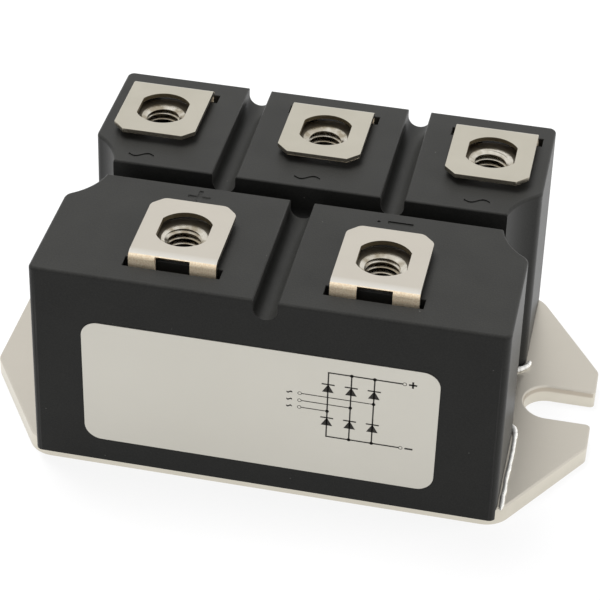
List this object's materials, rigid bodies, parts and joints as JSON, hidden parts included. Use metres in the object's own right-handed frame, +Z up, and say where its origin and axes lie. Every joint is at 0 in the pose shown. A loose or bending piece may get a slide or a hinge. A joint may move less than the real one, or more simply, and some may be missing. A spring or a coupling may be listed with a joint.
{
  "type": "three-phase bridge rectifier module",
  "caption": "Power module with a moulded housing on a slotted metal base plate, and screw terminals for AC and DC on top.",
  "frame": {"origin": "centre of the base plate's underside, on the mounting surface", "axes": "+X along the module from the mounting hole to the open mounting slot, +Z up out of the mounting surface, -Y towards the label and the two DC terminals"},
  "size_m": [0.094, 0.0555, 0.038],
  "materials": {
    "nickel_plate": "satin nickel plating on copper",
    "housing": "fine matte moulded, charcoal grey",
    "glue": "white silicone",
    "terminal_sheet": "satin nickel plating on copper sheet",
    "nut_steel": "nickel-plated steel",
    "label_film": "satin off-white print film",
    "bare_copper": "bare copper",
    "alumina": "white unglazed ceramic",
    "silicon": "dark polished silicon",
    "gel": "clear soft silicone gel"
  },
  "bodies": {
    "root": {"base_plate": "nickel_plate", "housing": "housing", "glue_bead": "glue", "plus_terminal": "terminal_sheet", "minus_terminal": "terminal_sheet", "ac_terminal_1": "terminal_sheet", "ac_terminal_2": "terminal_sheet", "ac_terminal_3": "terminal_sheet", "terminal_nuts": "nut_steel", "label": "label_film", "substrate_back_copper": "bare_copper", "substrate_ceramic": "alumina", "plus_track": "bare_copper", "minus_track": "bare_copper", "ac_track_1": "bare_copper", "ac_track_2": "bare_copper", "ac_track_3": "bare_copper", "upper_diode_1": "silicon", "upper_diode_2": "silicon", "upper_diode_3": "silicon", "lower_diode_1": "silicon", "lower_diode_2": "silicon", "lower_diode_3": "silicon", "upper_clip_1": "bare_copper", "upper_clip_2": "bare_copper", "upper_clip_3": "bare_copper", "lower_clip_1": "bare_copper", "lower_clip_2": "bare_copper", "lower_clip_3": "bare_copper", "gel_fill": "gel"}
  },
  "joints": []
}
